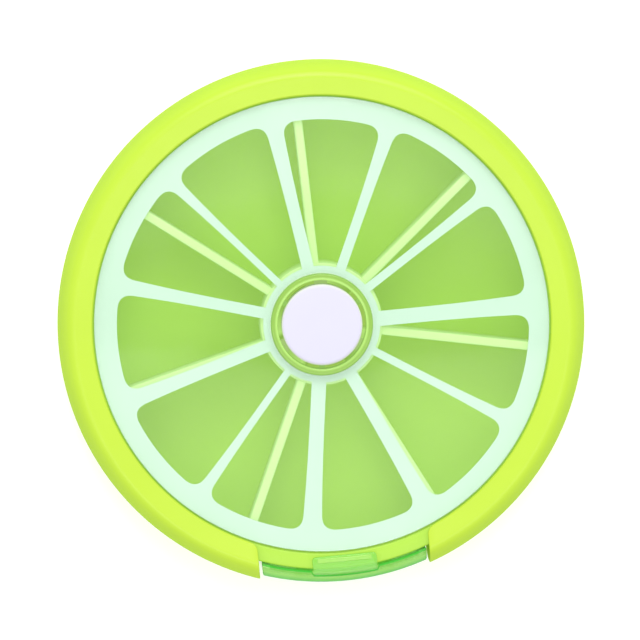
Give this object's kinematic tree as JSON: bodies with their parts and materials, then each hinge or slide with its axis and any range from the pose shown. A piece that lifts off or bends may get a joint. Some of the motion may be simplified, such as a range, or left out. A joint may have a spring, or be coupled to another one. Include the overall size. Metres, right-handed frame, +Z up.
{
  "type": "weekly pill organizer",
  "caption": "Round carousel pill box under a citrus-slice window; a centre button turns the tray on by one compartment and a hinged see-through lid covers the outlet",
  "frame": {"origin": "middle of the bounding box's base, on the plane the foot rests on", "axes": "+Z up through the button, the outlet lid faces -Y, +X to the right of the outlet seen from the front"},
  "size_m": [0.092, 0.0912, 0.0255],
  "materials": {
    "lime": "glossy moulded plastic",
    "pale_lime": "glossy moulded plastic",
    "mint": "satin sheet",
    "clear": "clear polished plastic",
    "clear_green": "see-through green plastic",
    "white": "smooth moulded plastic",
    "steel": "drawn wire"
  },
  "bodies": {
    "case": {"bottom_cover": "lime", "upper_case": "lime", "rind_ring": "lime", "window": "clear", "slice_inlay": "mint", "lid_pin": "steel"},
    "button": {"push_button": "white", "drive_stem": "white", "return_spring": "steel"},
    "indexer": {"indexer": "pale_lime"},
    "carousel": {"compartment_tray": "pale_lime", "ratchet_ring": "pale_lime"},
    "lid": {"flip_lid": "clear_green"}
  },
  "joints": [
    {"name": "button_press", "type": "slide", "parent": "case", "child": "button", "axis": [0, 0, -1], "range_m": [0, 0.004], "stiffness_N_per_m": 900, "springref_m": -0.0015, "deforming": ["return_spring"]},
    {"name": "indexer_turn", "type": "hinge", "parent": "case", "child": "indexer", "pos_m": [0, 0, 0.012], "axis": [0, 0, 1], "range_deg": [0, 52]},
    {"name": "tray_spin", "type": "hinge", "parent": "indexer", "child": "carousel", "pos_m": [0, 0, 0.0035], "axis": [0, 0, 1], "continuous": true},
    {"name": "lid_flip", "type": "hinge", "parent": "case", "child": "lid", "pos_m": [0, -0.0433, 0.002], "axis": [1, 0, 0], "range_deg": [0, 90]}
  ],
  "couplings": [
    {"joint": "indexer_turn", "follows": "button_press", "rad_per_m": 224.4}
  ]
}
